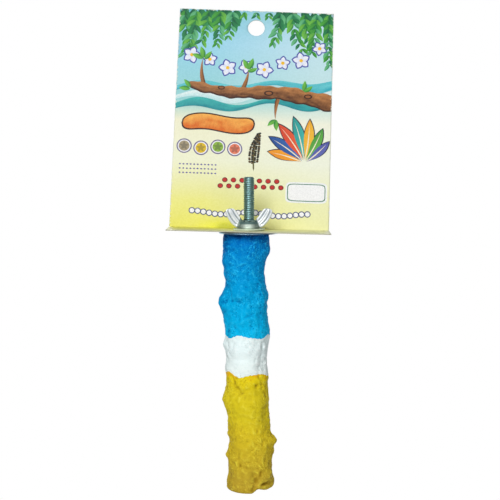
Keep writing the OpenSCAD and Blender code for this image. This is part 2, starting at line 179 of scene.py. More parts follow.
def cast_radius(a, d):
    """Radius at heading a and depth d: the mean reach, plus a bell-shaped swell for each
    knob, less the rounding of the rims at either end."""
    r = PERCH_R * np.interp(d / PERCH_L, even_steps, reach_shares)
    for depth, heading, reach, along, around in knob_shares:
        r = r + reach * KNOB_REACH * np.exp(
            -((d - depth * PERCH_L) / (along * PERCH_R)) ** 2
            - (np.radians(turn(a, heading)) / around) ** 2)
    return r - rim_loss(d, TOP_ROUND) - rim_loss(end_depth(a) - d, END_ROUND)


def ring_points(a, r, z):
    """Points at heading a, radius r and height z round the stud's axis."""
    return np.stack([r * np.cos(np.radians(a)), r * np.sin(np.radians(a)), z + 0 * a], axis=-1)


def grain(p, size, seed):
    """Smooth random heights between -1 and 1: each corner of a lattice of that size has a
    random slope, and the slopes are blended by a smooth step between the corners."""
    slopes = np.random.default_rng(seed).normal(size=(32, 32, 32, 3))
    slopes /= np.linalg.norm(slopes, axis=-1, keepdims=True)
    q = p / size
    cell = np.floor(q).astype(int)
    f = q - cell
    s = f * f * f * (f * (f * 6 - 15) + 10)
    total = 0
    for corner in np.ndindex(2, 2, 2):
        c = np.array(corner)
        i = (cell + c) % 32
        weight = np.prod(np.where(c == 1, s, 1 - s), axis=-1)
        total = total + weight * np.sum(slopes[i[..., 0], i[..., 1], i[..., 2]] * (f - c), axis=-1)
    return total * 1.5


def fine_relief(a, d, r):
    """Height of the small detail at heading a, depth d, how rough it is there, 0 to 1, and
    its shade: bell-shaped touches and soft valleys along folds, both swayed by slow random
    shifts, with random lumps of three sizes. Where it is rough, thin ridges stand round hollows
    and pits. Painted shade darkens the folds, and bell-shaped patches darken the paste or,
    below zero, lighten it, most of them painted shade."""
    p = ring_points(a, r, d)
    sway, drift = (SWAY_H * grain(p + far, SWAY_MM, seed) for far, seed in ((20, 21), (60, 22)))

    def side(heading, swing):
        """Way round from a heading in mm, swayed by a multiple of the slow shift."""
        return np.radians(turn(a, heading)) * PERCH_R + swing * sway

    def bell(depth, heading, along, around, swing=1):
        """Bell-shaped share, 1 in its middle, swayed both ways."""
        return np.exp(-((d + swing * drift - depth) / along) ** 2
                      - (side(heading, swing) / around) ** 2)

    h, shade, lumpy = np.zeros_like(r), np.zeros_like(r), np.ones_like(r)
    for depth, heading, dark, *spreads in stains_and_painted_shade:
        shade += dark * bell(depth, heading, *spreads)
    shade *= 0.75 + 0.7 * grain(p + 130, MOTTLE_MM, 7)
    for depth, heading, height, *spreads in touches:
        h += height * bell(depth, heading, *spreads)
    for d0, a0, d1, a1, height, width in folds:
        run, rise = math.radians(a1 - a0) * PERCH_R, d1 - d0
        over, down = side(a0, 0.6), d + 0.6 * drift - d0
        t = np.clip((over * run + down * rise) / (run ** 2 + rise ** 2), 0, 1)
        gap = np.hypot(over - t * run, down - t * rise)
        valley = FOLD_H * height * np.exp(-(gap / (FOLD_W * width)) ** 2)
        h, shade = h + valley, shade - 0.5 * valley
    warp = np.stack([grain(p, WARP_MM, seed) for seed in (11, 12, 13)], axis=-1)
    rough = np.clip(0.45 + 1.8 * grain(p + 90, AREA_MM, 5), 0, 1)
    for *middle, along, around, flat in smooth_patches:
        patch = bell(*middle, along, around, swing=2)
        rough, lumpy = rough * (1 - 0.95 * patch), lumpy * (1 - flat * patch)
    rough = np.maximum(rough, 0.9 * np.exp(-(turn(a, BAND_AT) / BAND_SPREAD) ** 2))
    h += (BROAD_H * grain(p, BROAD_MM, 1) + LUMP_H * grain(p + warp, LUMP_MM, 2)) * lumpy
    broken = np.clip(0.6 + 1.3 * grain(p + 70, GAP_MM, 9), 0, 1.4)
    creases = np.abs(grain(p + 1.5 * warp, RIDGE_MM, 3))
    h += (0.15 + rough) * (0.14 - RIDGE_H * creases) * broken
    h += (0.1 + rough) * FINE_H * grain(p + 0.4 * warp, FINE_MM, 4)
    pits = np.clip(grain(p + 40, PIT_MM, 6) - 0.6, 0, 1)
    return h - PIT_H * pits * (0.2 + rough), rough, shade


def cast_skin(a, d):
    """Points of the casting's side at heading a and depth d; for each a share of painted shade,
    or painted highlight below zero, by how far it lies below the mean of its neighbours within
    about 2 mm, plus the shade of its patches and folds; and how rough."""
    r = cast_radius(a, d)
    h, rough, shade = fine_relief(a, d, r)
    fade = np.clip(np.minimum(d, end_depth(a) - d + 1.0) / END_FADE, 0, 1)
    h = h * (0.15 + 0.85 * fade)
    near = h
    for _ in range(3):
        near = sum(np.roll(near, k, axis=1) for k in range(-2, 3)) / 5
        pad = np.pad(near, ((2, 2), (0, 0)), mode="edge")
        near = sum(pad[k:k + len(near)] for k in range(5)) / 5
    points = ring_points(a, r + h, PERCH_TOP - d)
    points[..., 0] += PERCH_R * np.interp(d / PERCH_L, even_steps, shift_shares)
    return points, np.clip((near - h) * HOLLOW_GAIN + shade, -1, 1), rough


def joint_depth(a, middle, waves):
    """Depth of a joint of two colours: a cosine round the casting for each wave or ripple,
    which has a count of turns, the heading of its dip and a size."""
    return middle + JOINT_WAVE * sum(size * np.cos(np.radians(count * (a - dip)))
                                     for count, dip, size in waves + RIPPLES)


def upper_joint(a):
    """Depth of the joint of blue and white at heading a."""
    return joint_depth(a, BLUE_L, [
        (1, 103, 0.15), (2, 149, 0.09), (3, 65, 0.36), (5, 8, 0.55), (7, 9, 0.41)])


def woven(rows, wrap=True, loop=False):
    """Points and quads of a grid of points: a quad between each row and the next. wrap joins
    the ends of each row, loop the last row to the first."""
    m, n = rows.shape[:2]
    index = np.arange(m * n).reshape(m, n)
    if wrap:
        index = np.hstack([index, index[:, :1]])
    if loop:
        index = np.vstack([index, index[:1]])
    quads = np.stack([index[:-1, :-1], index[1:, :-1], index[1:, 1:], index[:-1, 1:]], axis=-1)
    return rows.reshape(-1, 3), quads.reshape(-1, 4)


def surface(name, *grids, facing=None, values=None):
    """Mesh object of one or more grids in millimetres, welded where they meet. A closed grid
    is turned by the sign of its volume to point outwards, an open one to face a direction."""
    points, faces, count = [], [], 0
    for co, quads in grids:
        p, q, r, t = (co[quads[:, k]] for k in range(4))
        if facing is None:
            away = np.sum(p * np.cross(q, r)) + np.sum(p * np.cross(r, t))
        else:
            away = np.sum(np.cross(r - p, t - q) @ np.array(facing))
        faces.append((quads if away > 0 else quads[:, ::-1]) + count)
        points.append(co)
        count += len(co)
    mesh = bpy.data.meshes.new(name)
    mesh.from_pydata((np.concatenate(points) * 0.001).tolist(), [],
                     np.concatenate(faces).tolist())
    for key, value in (values or {}).items():
        kind, field = ("FLOAT_COLOR", "color") if value.shape[-1] == 4 else ("FLOAT", "value")
        mesh.attributes.new(key, kind, "POINT").data.foreach_set(
            field, np.ascontiguousarray(value, dtype=np.float32).ravel())
    welded = bmesh.new()
    welded.from_mesh(mesh)
    bmesh.ops.remove_doubles(welded, verts=welded.verts, dist=1e-7)
    welded.to_mesh(mesh)
    welded.free()
    mesh.shade_smooth()
    piece = bpy.data.objects.new(name, mesh)
    bpy.context.scene.collection.objects.link(piece)
    return piece


def out_of_bore(edge, depth):
    """Rings from the bore's wall at a depth out to the side's edge."""
    mouth = ring_points(headings, CORE_BORE_R, PERCH_TOP - depth)
    return [mouth * (1 - t) + edge * t for t in RIM_SHARES]


def cast_section(name, top, bottom, first=None, last=None):
    """A section of the casting between depths top(a) and bottom(a), as one closed skin: down
    the side, in to the bore along the lower joint, up the bore and out again. first and last
    make the rings of an end that isn't a plain joint from the side's edge."""
    high, low = top(headings), bottom(headings)
    count = int(round((low.mean() - high.mean()) / RING_STEP))
    depth = high + (low - high) * np.linspace(0, 1, count + 1)[:, None]
    side, hollow, rough = cast_skin(headings + 0 * depth, depth)
    before = np.array(first(side[0]) if first else out_of_bore(side[0], high.mean()))
    after = np.array(last(side[-1]) if last else out_of_bore(side[-1], low.mean())[::-1])
    values = {key: np.concatenate([np.repeat(value[:1], len(before), 0), value,
                                   np.repeat(value[-1:], len(after), 0)]).reshape(-1, 1)
              for key, value in (("hollow", hollow), ("depth", depth / PERCH_L),
                                 ("rough", rough))}
    return surface(name, woven(np.concatenate([before, side, after]), loop=not (first or last)),
                   values=values)


def seen(red, green, blue):
    """A colour as it is seen, 0 to 255, turned to the shader's linear scale."""
    c = np.array([red, green, blue]) / 255
    return tuple(np.where(c <= 0.04045, c / 12.92, ((c + 0.055) / 1.055) ** 2.4)) + (1.0,)


def add(tree, kind, sockets=None, **settings):
    """One shader node. A socket takes a value or another node's output."""
    made = tree.nodes.new("ShaderNode" + kind)
    for key, value in settings.items():
        setattr(made, key, value)
    for key, value in (sockets or {}).items():
        if isinstance(value, bpy.types.NodeSocket):
            tree.links.new(value, made.inputs[key])
        else:
            made.inputs[key].default_value = value
    return made


def new_finish(name, **sockets):
    """A material with one Principled shader whose plain sockets are set here, with its tree
    and the output of the place on the object."""
    finish = bpy.data.materials.new(name)
    finish.use_nodes = True
    tree = finish.node_tree
    for key, value in sockets.items():
        tree.nodes["Principled BSDF"].inputs[key.replace("_", " ")].default_value = value
    return finish, tree, add(tree, "TexCoord").outputs["Object"]


def dress(tree, height, strength, distance, **sockets):
    """Links outputs to the shader's sockets, and tilts its normal by a height's slope."""
    bump = add(tree, "Bump", {"Height": height, "Strength": strength, "Distance": distance})
    for key, value in {"Normal": bump.outputs["Normal"], **sockets}.items():
        tree.links.new(value, tree.nodes["Principled BSDF"].inputs[key.replace("_", " ")])


def blend_colours(tree, share, low, high, way="MIX"):
    """The mix of two colours by a share, each of them a value or an output."""
    return add(tree, "Mix", {0: share, 6: low, 7: high},
               data_type="RGBA", blend_type=way).outputs[2]


def ramp(tree, share, stops):
    """Colours blended along 0 to 1. Each stop is a place and its colour as seen."""
    made = add(tree, "ValToRGB", {"Fac": share})
    elements = made.color_ramp.elements
    for i, (place, *colour) in enumerate(stops):
        stop = elements[i] if i < 2 else elements.new(place)
        stop.position, stop.color = place, seen(*colour)
    return made.outputs["Color"]


def spread(tree, value, start, end, low=0.0, high=1.0, **way):
    """The way of a value from start to end, laid out from low to high and held there."""
    return add(tree, "MapRange", {"Value": value, "From Min": start, "From Max": end,
                                  "To Min": low, "To Max": high}, **way).outputs[0]


def maths(tree, operation, *values):
    """One operation on up to three values or outputs."""
    return add(tree, "Math", dict(enumerate(values)), operation=operation).outputs[0]


def length_of(tree, vector):
    """The length of a vector."""
    return add(tree, "VectorMath", {0: vector}, operation="LENGTH").outputs["Value"]


def noise(tree, place, scale, detail, **more):
    """Cloudy noise about one half, with so many clouds to the metre."""
    return add(tree, "TexNoise", {"Vector": place, "Scale": scale, "Detail": detail,
                                  **more}).outputs["Fac"]


def reading(tree, name):
    """An attribute of the mesh, as one number."""
    return add(tree, "Attribute", attribute_name=name).outputs["Fac"]


def cast_finish(name, along, light, dark, speckle, gloss):
    """Set mineral paste: a colour that changes along the casting, with mottles a few
    millimetres wide and sandy grain. A painted highlight makes it paler on high spots, pale
    specks are partly pale grains and partly painted glints, and it is darker in specks; painted
    shade darkens hollows, pits, folds and the shaded patches."""
    finish, tree, place = new_finish(name, Specular_IOR_Level=0.02)
    hollow, depth, coarse = (reading(tree, key) for key in ("hollow", "depth", "rough"))
    mottle, fine = noise(tree, place, 230.0, 4.0), noise(tree, place, 1300.0, 3.0)
    base = ramp(tree, maths(tree, "MULTIPLY_ADD", mottle, 0.10, depth), along)
    strong = spread(tree, coarse, 0.0, 0.7, 0.3 * speckle, speckle)
    # Painted highlight on high spots; pale grains and painted glints; dark specks; painted shade
    # in hollows, folds and patches
    for share, tint in ((spread(tree, hollow, -0.09, -0.62, high=0.8), light),
                        (spread(tree, fine, 0.53, 0.66, high=strong), light),
                        (spread(tree, fine, 0.44, 0.30, high=strong), dark),
                        (spread(tree, hollow, 0.1, 1.0, high=0.85), dark)):
        base = blend_colours(tree, share, base, tint)
    grit = add(tree, "TexVoronoi", {"Vector": place, "Scale": 1500.0}).outputs["Distance"]
    dress(tree, maths(tree, "ADD", fine, grit), 0.35, 0.00012, Base_Color=base,
          Roughness=spread(tree, mottle, 0.3, 0.7, gloss, gloss + 0.25))
    return finish


blue_piece = cast_section("blue_casting", lambda a: 0 * a, upper_joint)
# The blue is deepest at its flat top: partly the paste's own deeper blue, partly painted shade
# under the washer
blue_piece.data.materials.append(cast_finish(
    "blue_mineral",
    [(0.048, 0, 74, 144), (0.064, 1, 104, 184), (0.09, 2, 122, 200), (0.145, 3, 142, 213),
     (0.26, 1, 157, 218), (0.38, 4, 179, 234), (0.45, 8, 190, 242)],
    seen(48, 206, 252), seen(0, 74, 148), 0.66, 0.36))
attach(blue_piece, "perch")
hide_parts("blue_section")


# ---------------- white section of the casting
# The same paste without pigment, pressed on between the blue and the yellow. It meets them
# along wavy joints, and its face is rubbed flatter than theirs.
def lower_joint(a):
    """Depth of the joint of white and yellow at heading a."""
    return joint_depth(a, BLUE_L + WHITE_L, [
        (1, 329, 0.51), (2, 108.6, 0.23), (3, 6, 0.58), (5, 42.6, 0.52), (7, 37.7, 0.41)])


white_piece = cast_section("white_casting", upper_joint, lower_joint)
white_piece.data.materials.append(cast_finish(
    "white_mineral",
    [(0.42, 234, 250, 250), (0.50, 237, 252, 252), (0.58, 239, 251, 248)],
    seen(253, 255, 254), seen(180, 196, 194), 0.5, 0.40))
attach(white_piece, "perch")
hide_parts("white_section")


# ---------------- yellow section of the casting
# The lowest and longest part. It closes over the dowel's end in two lobes, one longer than
# the other, with a groove between them.
END_RINGS, END_DROOP, END_LUMP_H, END_LUMP_MM = 22, 0.5, 0.35, 2.6


def dowel_floor(edge):
    """Rings from the middle of the dowel hole's floor, up its wall and out to the joint."""
    floor = [ring_points(headings, share * CORE_BORE_R, PERCH_TOP - CORE_BORE_L)
             for share in (0, 0.5, 1)]
    return floor + out_of_bore(edge, BLUE_L + WHITE_L)


def rounded_end(edge):
    """Rings from the lower rim in to the middle of the end, drooping slightly, with lumps."""
    middle = edge.mean(axis=0)
    rows = []
    for t in np.linspace(0, 1, END_RINGS)[1:]:
        row = edge * (1 - t) + middle * t
        lumps = END_LUMP_H * grain(row + 7, END_LUMP_MM, 8)
        row[:, 2] += END_DROOP * t * (1 - t) + lumps * (1 - t) * min(1, 6 * t)
        rows.append(row)
    rows[-1][:] = rows[-1].mean(axis=0)
    for row in rows:
        row[:, 2] = np.maximum(row[:, 2], PERCH_TOP - PERCH_L)
    return rows


yellow_piece = cast_section("yellow_casting", lower_joint, end_depth,
                            first=dowel_floor, last=rounded_end)
yellow_piece.data.materials.append(cast_finish(
    "yellow_mineral",
    [(0.584, 238, 186, 26), (0.602, 234, 210, 24), (0.65, 218, 198, 34), (0.74, 219, 200, 36),
     (0.82, 216, 191, 38), (0.93, 200, 173, 44), (1.02, 188, 159, 48)],
    seen(240, 226, 72), seen(146, 116, 22), 0.36, 0.36))
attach(yellow_piece, "perch")
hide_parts("yellow_section")


# ---------------- wooden dowel
# A plain softwood dowel that the paste is pressed round. It stays the CAD solid, and only
# its finish is made here: growth rings seen along the grain.
wood, tree, place = new_finish("dowel_wood", Roughness=0.7)
long_grain = add(tree, "Mapping", {"Vector": place, "Scale": (1.0, 1.0, 0.08)}).outputs[0]
rings = add(tree, "TexWave", {"Vector": long_grain, "Scale": 260.0, "Distortion": 5.0,
                              "Detail": 3.0, "Detail Scale": 1.6}).outputs["Fac"]
pores = noise(tree, long_grain, 2600.0, 2.0)
dress(tree, pores, 0.3, 0.0001, Base_Color=blend_colours(
    tree, 0.35, ramp(tree, rings, [(0.2, 214, 178, 128), (0.9, 176, 132, 84)]),
    ramp(tree, pores, [(0.35, 140, 100, 62), (0.6, 222, 188, 140)])))
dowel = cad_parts["wood_core"]
dowel.data.materials.clear()
dowel.data.materials.append(wood)


# ---------------- hanging stud
# A zinc-plated steel hanger bolt: a quarter-inch machine thread, 20 turns to the inch, above
# the casting, and a coarse wood screw with a point below, driven into the dowel.
STUD_R, STUD_ROOT_R, STUD_L, PITCH, STUD_FLAT = 3.17, 2.90, 25.2, 1.27, 0.18
SCREW_CREST_R, SCREW_ROOT_R, SCREW_L, SCREW_PITCH, SCREW_FLAT = 2.9, 2.15, 31.0, 2.6, 0.42
TIP_BEVEL, TIP_SLOPE, TIP_L, POINT_L, POINT_R, SHANK_L = 0.75, 0.85, 1.6, 5.0, 0.25, 0.5
STUD_SIDES, SCREW_RISE, STUD_RISE, TIP_RINGS = 72, 0.16, 0.11, 24


def thread_height(turns, flat):
    """Height of a thread, 0 at its root and 1 at its crest, by turns along the axis: straight
    flanks with a flat crest and root, each that share of the pitch."""
    t = np.abs((turns % 1) * 2 - 1)
    return np.clip((t - flat) / (1 - 2 * flat), 0, 1)


def stud_skin():
    """The stud's skin at heading a and height z: the radius follows the thread's height by
    z over the pitch less a over the full turn. It shrinks to the bevel at the tip and to the
    screw's point, and the machine thread reaches just below the dowel's mouth."""
    a = np.linspace(0, 360, STUD_SIDES, endpoint=False)[None, :]
    z = np.concatenate([np.arange(PERCH_TOP - SCREW_L, PERCH_TOP, SCREW_RISE),
                        np.arange(PERCH_TOP, STUD_L - TIP_L, STUD_RISE),
                        np.linspace(STUD_L - TIP_L, STUD_L, TIP_RINGS)])[:, None]
    fine = STUD_ROOT_R + (STUD_R - STUD_ROOT_R) * thread_height(z / PITCH - a / 360, STUD_FLAT)
    coarse = SCREW_ROOT_R + (SCREW_CREST_R - SCREW_ROOT_R) * thread_height(
        z / SCREW_PITCH - a / 360, SCREW_FLAT)
    r = np.where(z > PERCH_TOP - SHANK_L, fine, coarse)
    r = np.minimum(r, STUD_R - TIP_BEVEL + (STUD_L - z) * TIP_SLOPE)
    r = np.minimum(r, POINT_R + (z - PERCH_TOP + SCREW_L) * (SCREW_CREST_R - POINT_R) / POINT_L)
    caps = [ring_points(a, k * r[e], z[e]) for e, k in ((0, 0.0), (-1, 0.5), (-1, 0.0))]
    return np.concatenate([caps[0], ring_points(a, r, z), caps[1], caps[2]])


stud = surface("threaded_stud", woven(stud_skin()))
zinc, tree, place = new_finish("stud_zinc", Metallic=1.0)
cloud = noise(tree, place, 420.0, 3.0)
dress(tree, noise(tree, place, 3000.0, 2.0), 0.15, 0.00005,
      Base_Color=ramp(tree, cloud, [(0.3, 93, 128, 128), (0.7, 125, 158, 158)]),
      Roughness=spread(tree, cloud, 0.3, 0.7, 0.33, 0.45))
stud.data.materials.append(zinc)
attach(stud, "perch")
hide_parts("hanger_bolt")


# ---------------- wide washer
# A fender washer stamped from zinc-plated strip, loose on the casting's flat top. The punch
# rounds its upper edges and leaves the lower ones crisp. The lower part of its rim is painted
# blue: a painted reflection of the paste below it, with painted shade.
HOLE_R, WASHER_T, WIDE_R = 3.55, 0.8, 17.5
# The painted tint on a washer's rim, in metres: its rise to the right, its soft edge, and
# where its ends fade
TINT_TILT, TINT_EDGE, TINT_IN, TINT_OUT = -0.005, 0.00005, 0.0135, 0.0155


def stamped_ring(name, outer, low):
    """A flat ring spun about the stud's axis: its section is a rectangle whose upper corners
    are rounded by the punch and whose lower ones are slightly bevelled."""
    turnover, burr = 0.28 * WASHER_T, 0.08 * WASHER_T
    shoulder = low + WASHER_T - turnover
    arc = np.radians(np.linspace(0, 90, 7))
    swung = list(zip(turnover * np.cos(arc), turnover * np.sin(arc)))
    section = np.array(
        [(HOLE_R, low + burr), (HOLE_R + burr, low), (outer - burr, low), (outer, low + burr)]
        + [(outer - turnover + c, shoulder + s) for c, s in swung]
        + [(HOLE_R + turnover - s, shoulder + c) for c, s in swung])
    a = np.linspace(0, 360, 144, endpoint=False)[None, :]
    piece = surface(name, woven(ring_points(a, section[:, :1], section[:, 1:]), loop=True))
    piece.data.set_sharp_from_angle(angle=math.radians(35))
    return piece


def stamped_zinc(name, pale, grey, rim_height, rim, metal=1.0):
    """Zinc plate: soft clouds of tone, and fine scratches that run round the hole. Below the
    rim's height in metres, which rises slightly to the right, a painted tint in the rim's colour
    covers it and takes away the metal there, apart from far left and right: painted reflection
    and shade on the wide washer, painted light on the small one."""
    finish, tree, place = new_finish(name, Anisotropic=0.2)
    x, y, z = add(tree, "SeparateXYZ", {"Vector": place}).outputs
    polar = add(tree, "CombineXYZ", {0: length_of(tree, place),
                                     1: maths(tree, "ARCTAN2", y, x)}).outputs[0]
    drawn = add(tree, "Mapping", {"Vector": polar, "Scale": (6000.0, 3.0, 1.0)}).outputs[0]
    scratch, cloud = noise(tree, drawn, 1.0, 3.0), noise(tree, place, 300.0, 4.0)
    level = maths(tree, "MULTIPLY_ADD", x, TINT_TILT, z)
    ink_and_painted_tint = spread(tree, level, rim_height + TINT_EDGE, rim_height - TINT_EDGE)
    ink_and_painted_tint = spread(tree, maths(tree, "ABSOLUTE", x), TINT_OUT, TINT_IN, high=ink_and_painted_tint)
    plate = ramp(tree, cloud, [(0.3, *grey), (0.7, *pale)])
    dress(tree, scratch, 0.12, 0.00005, Base_Color=blend_colours(tree, ink_and_painted_tint, plate, rim),
          Metallic=maths(tree, "MULTIPLY_ADD", ink_and_painted_tint, -metal, metal),
          Roughness=spread(tree, scratch, 0.3, 0.7, 0.34, 0.52))
    return finish


wide_ring = stamped_ring("wide_flat_washer", WIDE_R, PERCH_TOP)
# The blue tint low on the rim is a painted reflection of the paste, with painted shade
wide_ring.data.materials.append(stamped_zinc(
    "wide_washer_zinc", (216, 242, 252), (196, 222, 236), -0.00706, seen(44, 88, 124)))
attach(wide_ring, "wide_washer")
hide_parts("perch_washer")


# ---------------- header card
# One sheet of half-millimetre folding board, printed on its face. Its foot is bent forward
# into a shelf with a punched hole, clamped on the stud, and the panel stands behind. It has
# a round hole near the top for a shop's peg. The whole sheet sits rolled and leaning back.
CARD_W, PANEL_H, SHELF_D, CARD_T = 95.25, 139.7, 32.0, 0.5
FOLD_BACK, CARD_Z, BEND_R, BLEND_REACH = 15.5, -6.1436, 0.45, 0.9
LEAN, ROLL, SKEW = math.radians(19), math.radians(1.5), math.radians(0.6)
CARD_HOLE_R, HANG_R, HANG_DROP = 3.5, 5.2, 11.3
COLUMNS, SIDE_ROWS, HOLE_RINGS, TOP_PART = 96, 24, 14, 30


def on_card(x, y, lift=0.0):
    """Place of the point x across and y up from the fold, at height lift above the board's
    middle on the printed side. The shelf lies flat at y below 0, the fold is an arc, and the
    panel rises behind it. Then the whole card rolls about the stud's axis."""
    rise = math.pi / 2 - LEAN
    reach = BEND_R * math.tan(rise / 2)
    turned = np.clip((y + reach) / (2 * reach), 0, 1) * rise
    beyond = np.maximum(y - reach, 0)
    back = np.minimum(y, -reach) + BEND_R * np.sin(turned) + beyond * math.cos(rise)
    up = BEND_R * (1 - np.cos(turned)) + beyond * math.sin(rise)
    back = FOLD_BACK + back - lift * np.sin(turned)
    up = up + lift * np.cos(turned)
    return np.stack([x * math.cos(ROLL) + up * math.sin(ROLL), back + 0 * x,
                     CARD_Z - x * math.sin(ROLL) + up * math.cos(ROLL)], axis=-1)


def on_sheet(u, v, lift=0.0):
    """Place of the point u across and v up the sheet, measured along its own edges, which
    the fold crosses at a slant."""
    return on_card(u * math.cos(SKEW) + v * math.sin(SKEW),
                   v * math.cos(SKEW) - u * math.sin(SKEW), lift)


def holed(low, high, middle, radius):
    """Rings of (u, v) points from a punched hole out to the closed edge of the part of the
    sheet between the curves low(u) and high(u): each ring is a mix of the hole's circle,
    taken at the edge points' headings, and the edge."""
    u = np.linspace(-CARD_W / 2, CARD_W / 2, COLUMNS + 1)
    side = np.linspace(0, 1, SIDE_ROWS + 1)[1:-1, None]
    foot, head = np.stack([u, low(u)], -1), np.stack([u, high(u)], -1)
    edge = np.concatenate([foot, foot[-1] + (head[-1] - foot[-1]) * side, head[::-1],
                           head[0] + (foot[0] - head[0]) * side])
    heading = np.arctan2(edge[:, 1] - middle[1], edge[:, 0] - middle[0])
    circle = np.array(middle) + radius * np.stack([np.cos(heading), np.sin(heading)], axis=-1)
    share = np.linspace(0, 1, HOLE_RINGS)[:, None, None] ** 1.3
    return circle * (1 - share) + edge * share


slant = math.tan(SKEW)
shelf_part = holed(lambda u: -SHELF_D + 0 * u, lambda u: u * slant - 1,
                   (FOLD_BACK * math.sin(SKEW), -FOLD_BACK * math.cos(SKEW)), CARD_HOLE_R)
top_part = holed(lambda u: PANEL_H - TOP_PART + 0 * u, lambda u: PANEL_H + 0 * u,
                 (0, PANEL_H - HANG_DROP), HANG_R)
u = np.linspace(-CARD_W / 2, CARD_W / 2, COLUMNS + 1)[None, :]
near_fold = u * slant + np.linspace(-1, 1, 25)[:, None]
share = np.linspace(0, 1, 60)[1:, None]
plain = (u * slant + 1) * (1 - share) + (PANEL_H - TOP_PART) * share
middle_part = np.stack(np.broadcast_arrays(u, np.concatenate([near_fold, plain])), axis=-1)
parts = [(shelf_part, True), (middle_part, False), (top_part, True)]
flat = np.concatenate([p.reshape(-1, 2) for p, _ in parts])
board = surface("folded_card", *[woven(on_sheet(p[..., 0], p[..., 1]), wrap=w) for p, w in parts],
                facing=(0, -1, 0.3),
                values={"across": flat[:, :1] / CARD_W, "up": flat[:, 1:] / PANEL_H})
thick = board.modifiers.new("board", "SOLIDIFY")
thick.thickness, thick.offset = CARD_T * 0.001, 0.0
thick.use_even_offset = True
thick.material_offset, thick.material_offset_rim = 1, 2


def rubbed(tree, place, colour):
    """Print rubbed off to bare board along the cut edges: where the ways in from the sides
    and from the top, their product over their sum, are less than a ragged width in mm."""
    ragged = spread(tree, noise(tree, place, 650.0, 5.0, Roughness=0.7), 0.42, 0.68, -0.15)
    out = maths(tree, "ABSOLUTE", reading(tree, "across"))
    side = maths(tree, "MULTIPLY_ADD", out, -CARD_W, CARD_W / 2)
    top = maths(tree, "MULTIPLY_ADD", reading(tree, "up"), -PANEL_H, PANEL_H)
    way_in = maths(tree, "DIVIDE", maths(tree, "MULTIPLY", side, top),
                   maths(tree, "ADD", side, top))
    bare = spread(tree, maths(tree, "SUBTRACT", way_in, ragged), 0.12, -0.12, high=0.85)
    return blend_colours(tree, bare, colour, seen(228, 232, 216))


face, tree, place = new_finish("printed_face", Roughness=0.42, Specular_IOR_Level=0.15)
up, across = reading(tree, "up"), reading(tree, "across")
# Ground printed in bands, from yellow at the foot through cream to blues, paler to the right
ground = ramp(tree, up, [
    (0.0, 228, 223, 84), (0.12, 234, 231, 128), (0.30, 236, 238, 206), (0.48, 236, 234, 202),
    (0.57, 142, 206, 206), (0.84, 144, 207, 230), (1.0, 98, 188, 210)])
paler = spread(tree, across, -0.3, 0.4, high=0.38)
ground = blend_colours(tree, paler, ground, seen(242, 248, 244))
# Painted sheen: the shelf turns pale grey-cream towards its front edge
ground = blend_colours(tree, spread(tree, up, -0.07, -0.21), ground, seen(212, 216, 172))
# Soft-edged spots of tint on the shelf and the panel's foot: where, how small, how strong.
# The first dulls the shelf's left end to olive; the other three are painted shadow of the
# wing nut on the card, deep yellow where light bounces, two left of it and one right
aim = add(tree, "CombineXYZ", {0: across, 1: up}).outputs[0]
for offset, scale, strength, *tint in (
        ((0.5, 0.15, 0.0), (2.2, 5.6, 1.0), 0.35, 178, 176, 92),
        ((0.155, 0.0, 0.0), (4.5, 18.0, 1.0), 0.9, 236, 233, 34),
        ((0.155, 0.0, 0.0), (13.0, 30.0, 1.0), 0.8, 190, 192, 14),
        ((-0.088, 0.003, 0.0), (17.0, 46.0, 1.0), 0.75, 120, 124, 44)):
    off = add(tree, "VectorMath", {0: aim, 1: offset}, operation="ADD").outputs[0]
    off = add(tree, "VectorMath", {0: off, 1: scale}, operation="MULTIPLY").outputs[0]
    ground = blend_colours(tree, spread(tree, length_of(tree, off), 1.0, 0.2, high=strength,
                                        interpolation_type="SMOOTHSTEP"), ground, seen(*tint))
fibre = noise(tree, place, 900.0, 3.0)
ground = blend_colours(tree, 0.06, ground, ramp(
    tree, fibre, [(0.4, 190, 190, 170), (0.6, 255, 255, 250)]))
dress(tree, fibre, 0.12, 0.00005, Base_Color=rubbed(tree, place, ground))


def plain_board(name, pale, dark, size):
    """Unprinted board: short paper fibres in two tones, lying every way."""
    finish, tree, place = new_finish(name, Roughness=0.8, Specular_IOR_Level=0.2)
    strewn = noise(tree, place, size, 6.0, Roughness=0.7, Distortion=1.5)
    dress(tree, strewn, 0.2, 0.00006,
          Base_Color=ramp(tree, strewn, [(0.35, *dark), (0.6, *pale)]))
    return finish


for finish in (face, plain_board("board_back", (226, 224, 216), (202, 198, 188), 900.0),
               plain_board("board_edge", (204, 202, 182), (166, 164, 142), 2600.0)):
    board.data.materials.append(finish)
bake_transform(board)
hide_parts("card_shelf", "card_panel")


# ---------------- printing on the card
# Ink on the panel, over its tinted ground: hanging sprigs, a garland, ribbons, a branch, a
# fan of feathers, ringed discs, a spray of millet, berries, beads and a blank label and
# plaque. Each shape is a film of ink just over the last, and one mesh holds them all.
inks = []
LANES = np.array([-1, -0.55, -0.12, 0.12, 0.55, 1])
SIDE_MARGIN, FOOT_MARGIN, LAYER_LIFT, SHAPE_LIFT = 0.15, 1.0, 0.012, 0.00015


def print_shape(points, colour, layer):
    """Lays a grid of (u, v) points on the panel's face as ink: a hundredth of a millimetre
    up for each layer, and a hair for each shape. colour is one or one for each point."""
    points = np.clip(points, [SIDE_MARGIN - CARD_W / 2, FOOT_MARGIN],
                     [CARD_W / 2 - SIDE_MARGIN, PANEL_H - SIDE_MARGIN])
    grid = on_sheet(points[..., 0], points[..., 1],
                    CARD_T / 2 + LAYER_LIFT * layer + SHAPE_LIFT * len(inks))
    colour = np.broadcast_to(np.asarray(colour, float), grid.shape[:2] + (4,))
    inks.append((woven(grid, wrap=False), colour.reshape(-1, 4), points.reshape(-1, 2)))


